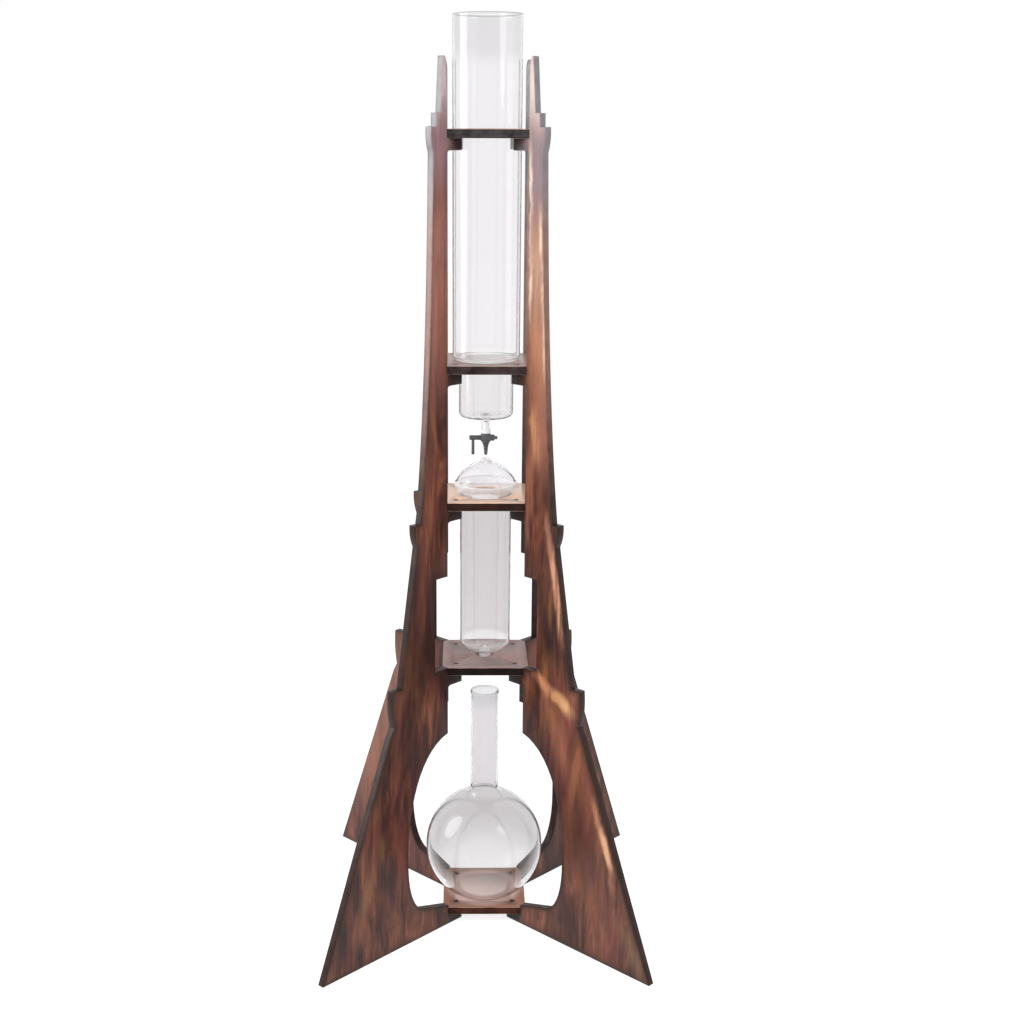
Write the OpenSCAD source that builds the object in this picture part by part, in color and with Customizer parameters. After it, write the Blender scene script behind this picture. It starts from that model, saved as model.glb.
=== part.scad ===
// Cold drip coffee tower: four shaped side boards on the diagonals carry five
// square plates. A glass water tank with a tap drips through a lid into a tall
// coffee chamber, which drains into a round flask at the foot of the tower.
// The origin is on the floor, on the tower's upright axis. Front is -Y.

/* [Side boards] */
// Thickness of each of the four side boards
board_t = 10; // [8:0.5:12]
// Reach of a foot's tip from the tower's axis
foot_reach = 278; // [240:1:320]
// Distance from the axis to a board's inner edge
inner_reach = 69.5; // [67:0.5:72]
// Height of the boards' tops
board_top = 1062.5; // [1045:0.5:1090]
// Reach of the board where the splayed foot ends
waist_reach = 165; // [163:0.5:170]
// Height where the splayed foot ends
waist_z = 283.5; // [270:0.5:290]
// Height of the low blunt end of a foot's tip
toe_h = 2; // [1:0.5:5]

/* [Ledges of the side boards] */
// Height of the lowest ledge
ledge1_z = 340.5; // [330:0.5:350]
// Reach of the lowest ledge
ledge1_reach = 161; // [158:0.5:165]
// Depth of the lowest ledge
ledge1_tread = 14.3; // [10:0.1:18]
// Reach of the board's neck below the lowest ledge
neck1_reach = 158.6; // [155:0.1:160]
// Height from that neck up to the lowest ledge
lip1_h = 46; // [40:0.5:50]
// Height of the middle ledge
ledge2_z = 536.5; // [525:0.5:550]
// Reach of the middle ledge
ledge2_reach = 123.3; // [120:0.1:127]
// Depth of the middle ledge
ledge2_tread = 10; // [7:0.1:13]
// Reach of the board's neck below the middle ledge
neck2_reach = 118.4; // [115:0.1:119]
// Height from that neck up to the middle ledge
lip2_h = 27.5; // [20:0.5:35]
// Height of the top ledge
ledge3_z = 987; // [980:0.5:995]
// Reach of the top ledge
ledge3_reach = 93.8; // [92:0.1:98]
// Depth of the top ledge
ledge3_tread = 8.2; // [5:0.1:9]
// Reach of the board's neck below the top ledge
neck3_reach = 90.6; // [88:0.1:91]
// Height from that neck up to the top ledge
lip3_h = 28; // [20:0.5:35]
// Rise of the small step above the top ledge
step_rise = 15; // [10:0.5:20]
// Depth of the small step
step_tread = 7; // [4:0.1:8]
// Reach of the outer edge at the very top
spire_reach = 74.7; // [74:0.1:77]
// Width of the level top of a board
spire_flat = 1.5; // [1:0.1:2]

/* [Openings in the side boards] */
// Height of the top of the flask's arch
arch_top = 262; // [255:1:275]
// Reach of the arch at its widest
arch_reach = 138; // [134:0.5:142]
// Height at which the arch is widest
arch_belly_z = 108; // [95:1:120]
// Reach of the arch's rounded lower end
sill_reach = 110; // [100:1:118]
// Height of the arm below the arch at that end
sill_z = 37.5; // [33:0.5:45]
// Height of that arm at the inner edge
sill_inner_z = 26; // [24:0.5:32]
// Height of the top of the recess beside the coffee chamber
recess_top = 464; // [440:1:490]
// Reach of that recess
recess_reach = 91; // [80:0.5:94]

/* [Brackets] */
// Reach of a bracket's inner end
bracket_reach = 45.5; // [43:0.5:47]
// Height of a bracket
bracket_h = 13.5; // [12:0.5:18]
// Height of the bracket that lies on the floor
foot_bracket_h = 13; // [12:0.5:18]
// Fillet under a bracket
bracket_fillet = 5; // [2:0.5:8]

/* [Plates] */
// Side of each square plate
plate_w = 105; // [103:0.5:106]
// Thickness of each plate
plate_t = 10; // [8:0.5:12]
// Height of the upper face of the plate round the water tank
collar_plate_z = 984.5; // [960:0.5:990]
// Height of the upper face of the plate that carries the water tank
tank_plate_z = 718.5; // [710:0.5:725]
// Height of the upper face of the plate that carries the coffee chamber
chamber_plate_z = 555; // [550:0.5:556]
// Height of the upper face of the plate round the chamber's outlet
outlet_plate_z = 347.5; // [342:0.5:348]
// Clearance round the glass in each plate's hole
hole_gap = 1; // [0.5:0.1:1.5]
// Width of the broken edge round each hole
hole_chamfer = 0.8; // [0.4:0.1:1.2]
// Diameter of the hole round the chamber's outlet
drip_hole_d = 23; // [16:0.5:30]

/* [Screws] */
// Distance of each screw from the tower's axis
screw_reach = 51; // [49:0.5:53]
// Diameter of a screw's shank
screw_d = 3.2; // [2.5:0.1:4]
// Diameter of a screw's head
screw_head_d = 7; // [6:0.1:8]
// Length of a screw
screw_l = 20; // [16:0.5:21]

/* [Water tank] */
// Outer diameter of the tank
tank_d = 80; // [76:0.5:84]
// Outer diameter of its lower, narrower part
tank_low_d = 65; // [58:0.5:67]
// Wall of the tank
tank_wall = 2.4; // [1.8:0.1:3]
// Height of the tank's rim
tank_top = 1110; // [1090:1:1130]
// Height of the underside of the narrower part
tank_low_z = 650; // [648:0.5:660]
// Radius of the tank's shoulder
tank_round = 5; // [3:0.5:6]
// Radius at the bottom of the narrower part
tank_low_round = 6; // [4:0.5:12]
// Outer diameter of the outlet tube
outlet_d = 11; // [10:0.1:14]
// Length of the outlet tube
outlet_l = 16.5; // [14:0.5:17.5]
// Bore of the outlet tube
outlet_bore_d = 7.4; // [7:0.1:8.6]

/* [Tap] */
// Diameter of the tap body
tap_d = 11; // [10:0.1:13]
// Height of the tap body above its plug's axis
tap_rise = 5.5; // [5:0.1:8]
// Diameter of the barrel that holds the plug
barrel_d = 9.6; // [9:0.1:11]
// Length of that barrel
barrel_l = 12; // [11:0.1:15]
// Depth from the plug's axis to the nozzle's tip
nozzle_drop = 21; // [18:0.1:22]
// Diameter of the nozzle's root
nozzle_root_d = 5.8; // [5:0.1:6]
// Diameter of the nozzle's tip
nozzle_tip_d = 3.6; // [3.2:0.1:4.5]
// Bore through the tap
tap_bore_d = 2.2; // [1.6:0.1:2.4]
// Diameter of the plug
plug_d = 6; // [5:0.1:6.4]
// Running clearance round the plug
plug_gap = 0.05; // [0.02:0.01:0.1]
// Thickness of the seal's flange between glass and tap
seal_t = 4.4; // [2:0.1:5]
// Diameter of the tap's spigot inside the seal
spigot_d = 5; // [4:0.1:6]
// Depth of the seal and spigot inside the outlet tube
spigot_l = 10; // [8:0.5:12]
// Reach of the handle's arm from the tap's centre
arm_reach = 20; // [18:0.5:24]
// Diameter of the handle's arm
arm_d = 5.7; // [5:0.1:6]
// Diameter of the lever
lever_d = 3.7; // [3:0.1:4.5]
// Distance of the lever from the tap's centre
lever_x = 15.5; // [14:0.1:17]
// Length of the lever below the plug's axis
lever_l = 21; // [18:0.5:24]
// Reach of the retaining cap from the tap's centre
cap_reach = 14; // [13:0.5:17]

/* [Coffee chamber] */
// Outer diameter of the chamber
chamber_d = 62.5; // [58:0.5:64]
// Outer diameter of the collar at its mouth
collar_d = 69; // [68:0.5:71]
// Height of that collar
collar_h = 12; // [9:0.5:13]
// Diameter of the ground flange on top of the collar
flange_d = 77; // [75:0.1:80]
// Thickness of that flange
flange_t = 3; // [2:0.1:4]
// Wall of the chamber
chamber_wall = 2.2; // [1.8:0.1:2.8]
// Height of the underside of the chamber
chamber_low_z = 355; // [352:0.5:357]
// Radius at the bottom of the chamber
chamber_round = 12; // [10:0.5:20]
// Outer diameter of the drip outlet
drip_d = 13.5; // [8:0.5:15]
// Length of the drip outlet
drip_l = 25; // [18:0.5:28]
// Bore of the drip outlet
drip_bore_d = 7; // [5:0.5:7]

/* [Lid] */
// Outer diameter of the lid's brim
brim_d = 77.4; // [74:0.1:84]
// Thickness of the lid's brim
brim_t = 2.2; // [1.8:0.1:3]
// Width from the dome's foot to the brim's edge
brim_w = 1.6; // [1:0.1:3]
// Height of the dome above the brim
dome_h = 25; // [22:0.5:25.5]
// Wall of the dome
dome_wall = 2; // [1.6:0.1:2.6]
// Diameter of the drip ring on top
ring_d = 17; // [15:0.5:20]
// Diameter of the drip ring's narrower upper end
ring_top_d = 10.6; // [10.2:0.1:14]
// Height of the drip ring above the dome
ring_h = 3.8; // [2:0.1:4.4]
// Diameter of the drip hole
drip_in_d = 7; // [6:0.1:8]
// Diameter of the drip hole's funnel mouth
funnel_d = 8.6; // [8.2:0.1:10]
// Depth of that funnel
funnel_h = 1.4; // [1:0.1:2]

/* [Flask] */
// Outer diameter of the flask's ball
flask_d = 149; // [136:1:151]
// Height of the ball's centre above the plate
flask_rise = 64.5; // [58:0.5:67]
// Wall of the flask
flask_wall = 2.2; // [1.8:0.1:3]
// Outer diameter of the flask's neck
neck_d = 35; // [30:0.5:40]
// Height of the flask's rim above the plate
flask_h = 276; // [250:1:290]
// Fillet between neck and ball
flask_fillet = 12; // [6:0.5:16]
// Diameter of the bead at the rim
bead_d = 2.6; // [2.4:0.1:4]

/* [Hidden] */
$fn = 96;
// Overrun of every cut past the face it opens
over = 1;
// Steps of each curve in an outline
steps = 14;
fine_steps = 5;

// Levels that follow from the sizes above
flask_plate_z = foot_bracket_h + plate_t;
step_z = ledge3_z + step_rise;
step_reach = ledge3_reach - ledge3_tread;
corner_leg = plate_w - inner_reach * sqrt(2);
PLATE_Z = [collar_plate_z, tank_plate_z, chamber_plate_z, outlet_plate_z, flask_plate_z];

// Swell of each ledge's lip past its reach, before the curve turns in
lip1_swell = 2.5;
lip2_swell = 1.2;
lip3_swell = 1.2;
// How far the long flank bows in, as a share of its own step in
flank_bow_share = 0.79;
flank_rise_share = 0.36;
// Control places of the arch, as shares of its width and of its height
arch_shares = [[0.708, 0.078], [1.015, 0.532]];
heel_shares = [[1, 0.68], [0.5, 0.035]];
// Height of the rounded inner shoulder at a board's top
spire_turn = 13;
// Rounding of the outer corner at a board's top
spire_nose = 3;
// Share of the waist's turn that lies past the splay
waist_turn_share = 0.85;

// Depth of a screw's straight head rim, its point, and its running gap
head_rim = 0.4;
screw_tip = 3;
screw_gap = 0.05;
// Width, length and depth of the cross in a screw's head
cross_w = 0.9;
cross_l = 3.8;
cross_h = 0.9;

// Small places on the tap
tap_z = tank_low_z - outlet_l - seal_t - tap_rise;
tap_skirt = 3.4;
tap_cone_h = 6.8;
body_gap = 0.3;
collar_w = 1.4;
arm_collar_d = 6.5;
tenon_d = 3.2;
tenon_l = 4;
cap_d = 7.6;
cap_head_l = 3.4;
cap_tip_d = 4;
seal_gap = 0.05;
lever_ball_d = 4;
lever_neck_share = 0.95;

function lerp(a, b, t) = a + (b - a) * t;
function bez2(a, b, c, n = steps) =
    [for (i = [0:n]) let (t = i / n) lerp(lerp(a, b, t), lerp(b, c, t), t)];
function bez3(a, b, c, d, n = steps) =
    [for (i = [0:n]) let (t = i / n)
        lerp(lerp(lerp(a, b, t), lerp(b, c, t), t), lerp(lerp(b, c, t), lerp(c, d, t), t), t)];
function arc(c, r, a0, a1, n = steps) =
    [for (i = [0:n]) let (a = lerp(a0, a1, i / n)) c + r * [cos(a), sin(a)]];
function back(p) = [for (i = [len(p) - 1:-1:0]) p[i]];

// One ledge from its neck up to its lip, then in along the tread
function ledge(neck, z, reach, tread, lip, swell) =
    concat(bez2([neck, z - lip], [reach + swell, z - lip * 0.55], [reach, z], fine_steps),
           [[reach - tread, z]]);

// A bracket on the inner edge under the plate whose upper face is at z
function bracket(z) = let (b = z - plate_t) concat(
    [[inner_reach, b], [bracket_reach, b], [bracket_reach, b - bracket_h]],
    arc([inner_reach - bracket_fillet, b - bracket_h - bracket_fillet],
        bracket_fillet, 90, 0, fine_steps));

// Outer edge of a board from its toe to its top
function outer_edge() = concat(
    [[foot_reach, 0], [foot_reach - toe_h / 2, toe_h], [waist_reach, waist_z]],
    bez2([waist_reach, waist_z],
         [lerp(waist_reach, neck1_reach, waist_turn_share),
          lerp(waist_z, ledge1_z - lip1_h, waist_turn_share)],
         [neck1_reach, ledge1_z - lip1_h], fine_steps),
    ledge(neck1_reach, ledge1_z, ledge1_reach, ledge1_tread, lip1_h, lip1_swell),
    ledge(neck2_reach, ledge2_z, ledge2_reach, ledge2_tread, lip2_h, lip2_swell),
    let (a = [ledge2_reach - ledge2_tread, ledge2_z], b = [neck3_reach, ledge3_z - lip3_h])
        bez2(a, [lerp(a.x, b.x, flank_bow_share), lerp(a.y, b.y, flank_rise_share)], b),
    ledge(neck3_reach, ledge3_z, ledge3_reach, ledge3_tread, lip3_h, lip3_swell),
    [[step_reach, step_z], [step_reach - step_tread, step_z]],
    bez2([spire_reach, board_top - spire_nose], [spire_reach, board_top],
         [inner_reach + spire_nose + spire_flat, board_top], fine_steps));

// The bay for the flask: an egg-shaped arch over an arm that falls inward
function arch_edge() = let (w = arch_reach - inner_reach, h = arch_top - arch_belly_z,
        v = arch_reach - sill_reach, g = arch_belly_z - sill_z) concat(
    bez3([inner_reach, arch_top],
         [inner_reach + w * arch_shares[0][0], arch_top - h * arch_shares[0][1]],
         [inner_reach + w * arch_shares[1][0], arch_top - h * arch_shares[1][1]],
         [arch_reach, arch_belly_z]),
    bez3([arch_reach, arch_belly_z],
         [sill_reach + v * heel_shares[0][0], arch_belly_z - g * heel_shares[0][1]],
         [sill_reach + v * heel_shares[1][0], sill_z + g * heel_shares[1][1]],
         [sill_reach, sill_z]),
    [[inner_reach, sill_inner_z]]);

// Inner edge of a board from its top down to the floor
function inner_edge() = concat(
    bez2([inner_reach + spire_nose, board_top], [inner_reach, board_top - spire_nose],
         [inner_reach, board_top - spire_turn], fine_steps),
    bracket(collar_plate_z),
    bracket(tank_plate_z),
    bracket(chamber_plate_z),
    [[inner_reach, recess_top], [recess_reach, recess_top],
     [recess_reach, outlet_plate_z], [inner_reach, outlet_plate_z]],
    bracket(outlet_plate_z),
    arch_edge(),
    [[inner_reach, foot_bracket_h], [bracket_reach, foot_bracket_h], [bracket_reach, 0]]);

// A screw's outline about its axis, grown by g for its bore, head up at zero
function screw_outline(g) = let (hr = screw_head_d / 2 + g, r = screw_d / 2 + g) [
    [0, 0], [hr, 0], [hr, -head_rim], [r, -head_rim - (hr - r)],
    [r, -screw_l + screw_tip - g], [0, -screw_l - g]];

// A board stands in the upright plane at the given angle about the axis
module board(turn) {
    color("#6a3d2c") rotate([0, 0, turn]) difference() {
        rotate([90, 0, 0]) linear_extrude(board_t, center = true)
            polygon(concat(outer_edge(), inner_edge()));
        for (z = PLATE_Z) translate([screw_reach, 0, z]) screw_bore();
    }
}

module screw_bore() rotate_extrude() polygon(screw_outline(screw_gap));

module screw() difference() {
    rotate_extrude() polygon(screw_outline(0));
    for (a = [0, 90]) rotate([0, 0, a]) translate([-cross_l / 2, -cross_w / 2, -cross_h])
        cube([cross_l, cross_w, cross_h + over]);
}

module at_corners() for (a = [45:90:315]) rotate([0, 0, a]) translate([screw_reach, 0, 0])
    children();

module screws(z) color("#3b3330") at_corners() translate([0, 0, z]) screw();

// A square plate whose corners are cut flat where the boards meet it
module plate(z, hole_r = 0) color("#8a6650") difference() {
    let (a = plate_w / 2, b = plate_w / 2 - corner_leg)
        translate([0, 0, z - plate_t]) linear_extrude(plate_t)
            polygon([[a, b], [b, a], [-b, a], [-a, b], [-a, -b], [-b, -a], [b, -a], [a, -b]]);
    if (hole_r > 0) translate([0, 0, z]) rotate_extrude() polygon([
        [0, over], [hole_r + hole_chamfer, over], [hole_r + hole_chamfer, 0],
        [hole_r, -hole_chamfer], [hole_r, -plate_t - over], [0, -plate_t - over]]);
    at_corners() translate([0, 0, z]) screw_bore();
}

// Glass tube with a rounded rim, a shoulder and a narrower part with an outlet
module tank_glass() {
    r = tank_d / 2;
    q = tank_low_d / 2;
    w = tank_wall;
    o = outlet_d / 2;
    b = outlet_bore_d / 2;
    s = tank_plate_z;
    color("#dfe7e8", 0.4) rotate_extrude() polygon(concat(
        [[b, tank_low_z - outlet_l], [o, tank_low_z - outlet_l]],
        [[o, tank_low_z]],
        arc([q - tank_low_round, tank_low_z + tank_low_round], tank_low_round, -90, 0),
        [[q, s]],
        arc([r - tank_round, s + tank_round], tank_round, -90, 0),
        arc([r - w / 2, tank_top - w / 2], w / 2, 0, 180),
        arc([r - tank_round, s + tank_round], tank_round - w, 0, -90, fine_steps),
        [[q - w, s + w]],
        arc([q - tank_low_round, tank_low_z + tank_low_round], tank_low_round - w, 0, -90),
        [[b, tank_low_z + w]]));
}

// Flanged silicone bung between the outlet tube and the tap's spigot
module seal() {
    z = tank_low_z - outlet_l;
    r = outlet_bore_d / 2 - seal_gap;
    b = spigot_d / 2 + seal_gap;
    color("#d9d6cf") rotate_extrude() polygon([
        [b, z - seal_t], [outlet_d / 2, z - seal_t], [outlet_d / 2, z],
        [r, z], [r, z + spigot_l], [b, z + spigot_l]]);
}

// Tap body: a turned drop shape with a spigot, crossed by the plug's barrel
module tap_shell() color("#2b2a2c") difference() {
    union() {
        translate([0, 0, tap_z]) rotate_extrude() polygon([
            [0, tap_rise + seal_t + spigot_l], [spigot_d / 2, tap_rise + seal_t + spigot_l],
            [spigot_d / 2, tap_rise], [tap_d / 2, tap_rise], [tap_d / 2, -tap_skirt],
            [nozzle_root_d / 2, -tap_skirt - tap_cone_h],
            [nozzle_tip_d / 2, -nozzle_drop], [0, -nozzle_drop]]);
        translate([-barrel_l / 2, 0, tap_z]) rotate([0, 90, 0])
            cylinder(d = barrel_d, h = barrel_l);
    }
    translate([0, 0, tap_z - nozzle_drop - over])
        cylinder(d = tap_bore_d, h = nozzle_drop + tap_rise + seal_t + spigot_l + 2 * over);
    translate([-barrel_l / 2 - over, 0, tap_z]) rotate([0, 90, 0])
        cylinder(d = plug_d + 2 * plug_gap, h = barrel_l + 2 * over);
}

// Plug with its cross port, a tenon for the handle and one for the cap
module plug() color("#1f1f21") difference() {
    translate([0, 0, tap_z]) rotate([0, 90, 0]) union() {
        translate([0, 0, -barrel_l / 2 - body_gap])
            cylinder(d = plug_d, h = barrel_l + 2 * body_gap);
        translate([0, 0, -barrel_l / 2 - body_gap - tenon_l])
            cylinder(d = tenon_d, h = barrel_l + 2 * body_gap + 2 * tenon_l);
    }
    translate([0, 0, tap_z - plug_d]) cylinder(d = tap_bore_d, h = 2 * plug_d);
}

// Handle: an arm in line with the plug and a lever that hangs from it
module handle() color("#2b2a2c") difference() {
    x0 = barrel_l / 2 + body_gap;
    union() {
        translate([-x0, 0, tap_z]) rotate([0, -90, 0]) {
            cylinder(d = arm_collar_d, h = collar_w);
            cylinder(d = arm_d, h = arm_reach - x0);
        }
        translate([-lever_x, 0, tap_z - lever_l + lever_ball_d / 2]) {
            cylinder(d1 = lever_d, d2 = lever_d * lever_neck_share,
                     h = lever_l - lever_ball_d / 2);
            sphere(d = lever_ball_d, $fn = 48);
        }
    }
    translate([-x0 + over, 0, tap_z]) rotate([0, -90, 0])
        cylinder(d = tenon_d + 2 * seal_gap, h = tenon_l + over + seal_gap);
}

// Cap that keeps the plug in its barrel
module cap() {
    x0 = barrel_l / 2 + body_gap;
    color("#2b2a2c") translate([x0, 0, tap_z]) rotate([0, 90, 0]) rotate_extrude() polygon([
        [tenon_d / 2 + seal_gap, 0], [cap_d / 2, 0], [cap_d / 2, cap_head_l],
        [cap_tip_d / 2, cap_head_l + collar_w], [cap_tip_d / 2, cap_reach - x0],
        [0, cap_reach - x0], [0, tenon_l + seal_gap], [tenon_d / 2 + seal_gap, tenon_l + seal_gap]]);
}

// Glass lid: a flat brim under a low dome with a funnel ring for the drops
module lid() {
    z = chamber_plate_z + collar_h;
    r = brim_d / 2 - brim_w;
    // Ball radius of a cap of that foot radius and height
    ball = (r * r + dome_h * dome_h) / (2 * dome_h);
    c = z + brim_t + dome_h - ball;
    foot = asin((z + brim_t - c) / ball);
    tip = acos(ring_d / 2 / ball);
    inner = ball - dome_wall;
    mouth = drip_in_d / 2;
    ring_z = z + brim_t + dome_h + ring_h;
    color("#dfe7e8", 0.4) rotate_extrude() polygon(concat(
        [[brim_d / 2, z], [brim_d / 2, z + brim_t]],
        arc([0, c], ball, foot, tip),
        [[ring_top_d / 2, ring_z], [funnel_d / 2, ring_z], [mouth, ring_z - funnel_h],
         [mouth, c + sqrt(inner * inner - mouth * mouth)]],
        back(arc([0, c], inner, asin((z - c) / inner), acos(mouth / inner)))));
}

// Tall glass chamber that hangs by its collar and ends in a drip outlet
module chamber_glass() {
    r = chamber_d / 2;
    w = chamber_wall;
    k = collar_d / 2;
    s = chamber_plate_z;
    t = chamber_low_z;
    g = chamber_round;
    d = drip_d / 2;
    b = drip_bore_d / 2;
    color("#d9dcdc", 0.4) rotate_extrude() polygon(concat(
        [[b, t - drip_l], [d, t - drip_l], [d, t]],
        arc([r - g, t + g], g, -90, 0),
        [[r, s]],
        [[k, s], [k, s + collar_h - flange_t], [flange_d / 2, s + collar_h - flange_t],
         [flange_d / 2, s + collar_h], [k - w, s + collar_h], [k - w, s + w], [r - w, s + w]],
        arc([r - g, t + g], g - w, 0, -90),
        [[b, t + w]]));
}

// Round flask with a flat foot, a long neck and a beaded rim
module flask_glass() {
    r = flask_d / 2;
    w = flask_wall;
    n = neck_d / 2;
    z = flask_plate_z;
    c = z + flask_rise;
    f = flask_fillet;
    top = z + flask_h;
    // The fillet's centre stands off both the ball and the neck by its radius
    fz = c + sqrt((r + f) * (r + f) - (n + f) * (n + f));
    turn = atan2(fz - c, n + f);
    low = asin(-flask_rise / r);
    low_in = asin(-(flask_rise - w) / (r - w));
    color("#dfe7e8", 0.4) rotate_extrude() polygon(concat(
        [[0, z]],
        arc([0, c], r, low, turn, 3 * steps),
        arc([n + f, fz], f, turn - 180, -180, fine_steps),
        [[n, top - bead_d]],
        arc([n, top - bead_d / 2], bead_d / 2, -60, 90, fine_steps),
        [[n - w, top]],
        arc([n + f, fz], f + w, -180, turn - 180, fine_steps),
        arc([0, c], r - w, turn, low_in, 3 * steps),
        [[0, z + w]]));
}

module board_front_left() board(225);
module board_front_right() board(315);
module board_back_left() board(135);
module board_back_right() board(45);
module plate_tank_collar() plate(collar_plate_z, tank_d / 2 + 1.5 * hole_gap);
module plate_tank_rest() plate(tank_plate_z, tank_low_d / 2 + hole_gap);
module plate_chamber_rest() plate(chamber_plate_z, chamber_d / 2 + hole_gap);
module plate_outlet_guide() plate(outlet_plate_z, drip_hole_d / 2);
module plate_flask_base() plate(flask_plate_z);
module screws_tank_collar() screws(collar_plate_z);
module screws_tank_rest() screws(tank_plate_z);
module screws_chamber_rest() screws(chamber_plate_z);
module screws_outlet_guide() screws(outlet_plate_z);
module screws_flask_base() screws(flask_plate_z);
module water_tank() tank_glass();
module tap_seal() seal();
module tap_body() tap_shell();
module tap_plug() plug();
module tap_handle() handle();
module tap_cap() cap();
module drip_lid() lid();
module coffee_chamber() chamber_glass();
module flask() flask_glass();

board_front_left();
board_front_right();
board_back_left();
board_back_right();
plate_tank_collar();
plate_tank_rest();
plate_chamber_rest();
plate_outlet_guide();
plate_flask_base();
screws_tank_collar();
screws_tank_rest();
screws_chamber_rest();
screws_outlet_guide();
screws_flask_base();
water_tank();
tap_seal();
tap_body();
tap_plug();
tap_handle();
tap_cap();
drip_lid();
coffee_chamber();
flask();
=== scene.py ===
"""Cold drip coffee tower: the looks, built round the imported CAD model."""
import math
import bpy
from mathutils import Matrix, Vector


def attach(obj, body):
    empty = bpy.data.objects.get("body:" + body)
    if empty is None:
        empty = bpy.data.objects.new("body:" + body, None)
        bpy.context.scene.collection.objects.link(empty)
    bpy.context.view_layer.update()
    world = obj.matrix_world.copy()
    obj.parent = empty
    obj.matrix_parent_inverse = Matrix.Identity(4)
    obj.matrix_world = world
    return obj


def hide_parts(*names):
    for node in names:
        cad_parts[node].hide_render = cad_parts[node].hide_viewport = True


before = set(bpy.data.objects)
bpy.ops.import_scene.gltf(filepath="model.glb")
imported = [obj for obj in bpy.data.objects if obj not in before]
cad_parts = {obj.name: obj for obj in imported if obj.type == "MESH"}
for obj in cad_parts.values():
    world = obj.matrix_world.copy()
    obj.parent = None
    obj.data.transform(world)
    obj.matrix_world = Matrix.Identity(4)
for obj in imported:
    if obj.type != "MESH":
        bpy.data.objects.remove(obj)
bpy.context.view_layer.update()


def placed(name, data):
    """An object for a mesh, a lamp or the camera, linked to the scene at the origin."""
    thing = bpy.data.objects.new(name, data)
    bpy.context.collection.objects.link(thing)
    return thing


def shade(node_tree, kind, **values):
    """Adds one shader node and sets its sockets or settings by name."""
    node = node_tree.nodes.new("ShaderNode" + kind)
    for key, value in values.items():
        if key in node.inputs:
            node.inputs[key].default_value = value
        else:
            setattr(node, key, value)
    return node


def maths(tree, kind, one, two=0.0):
    """One step of arithmetic on value sockets or numbers."""
    node = shade(tree, "Math", operation=kind)
    for socket, value in zip(node.inputs, (one, two)):
        if isinstance(value, bpy.types.NodeSocket):
            tree.links.new(value, socket)
        else:
            socket.default_value = value
    return node.outputs[0]


def mix_colors(tree, fac, low, high, mode="MIX"):
    """Mixes two colours, each a socket or a plain colour, by a value socket."""
    node = shade(tree, "Mix", data_type="RGBA", blend_type=mode)
    for socket, value in ((node.inputs[0], fac), (node.inputs[6], low), (node.inputs[7], high)):
        if isinstance(value, bpy.types.NodeSocket):
            tree.links.new(value, socket)
        else:
            socket.default_value = value
    return node.outputs[2]


def seen_by_eye(tree):
    """One for light that reaches the camera directly, off a gloss or through glass."""
    path = shade(tree, "LightPath")
    eye = maths(tree, "MAXIMUM", path.outputs["Is Camera Ray"], path.outputs["Is Glossy Ray"])
    return maths(tree, "MAXIMUM", eye, path.outputs["Is Transmission Ray"])


def new_material(name):
    """A new material with its node tree and its Principled shader."""
    stuff = bpy.data.materials.new(name)
    stuff.use_nodes = True
    return stuff, stuff.node_tree, stuff.node_tree.nodes["Principled BSDF"]


camera_data = bpy.data.cameras.new("camera")
camera = placed("camera", camera_data)
yaw, pitch, roll = -0.017476, 0.2618, 0.004764
away, above_floor = 1.7935, 0.9957
gaze = Vector((-math.sin(yaw) * math.cos(pitch), math.cos(yaw) * math.cos(pitch), -math.sin(pitch)))
side = Vector((math.cos(yaw), math.sin(yaw), 0))
head = side.cross(gaze)
side, head = (side * math.cos(roll) + head * math.sin(roll),
              head * math.cos(roll) - side * math.sin(roll))
camera.matrix_world = Matrix.Translation(
    (away * math.sin(yaw), -away * math.cos(yaw), above_floor)) @ \
    Matrix((side, head, -gaze)).transposed().to_4x4()
picture, focal, centre_x, centre_y = 1024, 1514.2, 485.43, 524.3  # in pixels
camera_data.sensor_width = 36
camera_data.lens = 36 * focal / picture
camera_data.shift_x = (picture / 2 - centre_x) / picture
camera_data.shift_y = (centre_y - picture / 2) / picture
camera_data.clip_end = 30
bpy.context.scene.camera = camera
bpy.context.scene.view_settings.view_transform = "Standard"

world = bpy.data.worlds.new("studio")
bpy.context.scene.world = world
world.use_nodes = True
sky = world.node_tree
sky.nodes.clear()
strength = shade(sky, "MapRange", **{"To Min": 0.45, "To Max": 1.0})
backdrop = shade(sky, "Background", Color=(1, 1, 1, 1))
sky.links.new(seen_by_eye(sky), strength.inputs["Value"])
sky.links.new(strength.outputs[0], backdrop.inputs["Strength"])
sky.links.new(backdrop.outputs[0], shade(sky, "OutputWorld").inputs[0])


def softbox(name, place, aim, width, height, power, mirrored=True):
    """An area light at a place, facing a point. It is never seen itself, not through glass
    either, and one that isn't mirrored leaves no glare."""
    data = bpy.data.lights.new(name, "AREA")
    data.shape, data.size, data.size_y, data.energy = "ELLIPSE", width, height, power
    lamp = placed(name, data)
    lamp.location = place
    lamp.rotation_euler = (Vector(aim) - Vector(place)).to_track_quat("-Z", "Y").to_euler()
    lamp.visible_glossy = mirrored
    lamp.visible_transmission = lamp.visible_camera = False


softbox("left_strip", (-1.45, -0.12, 1.10), (0, 0, 0.95), 0.8, 1.4, 14)
softbox("right_spot", (0.95, -0.82, 1.25), (0, 0, 0.5), 0.55, 0.55, 3.0)
softbox("left_fill", (-1.0, -0.95, 1.15), (0, 0, 0.7), 0.8, 0.8, 6, False)
softbox("top_fill", (0.15, -1.0, 1.75), (0, 0, 0.7), 1.0, 1.0, 16, False)

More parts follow.
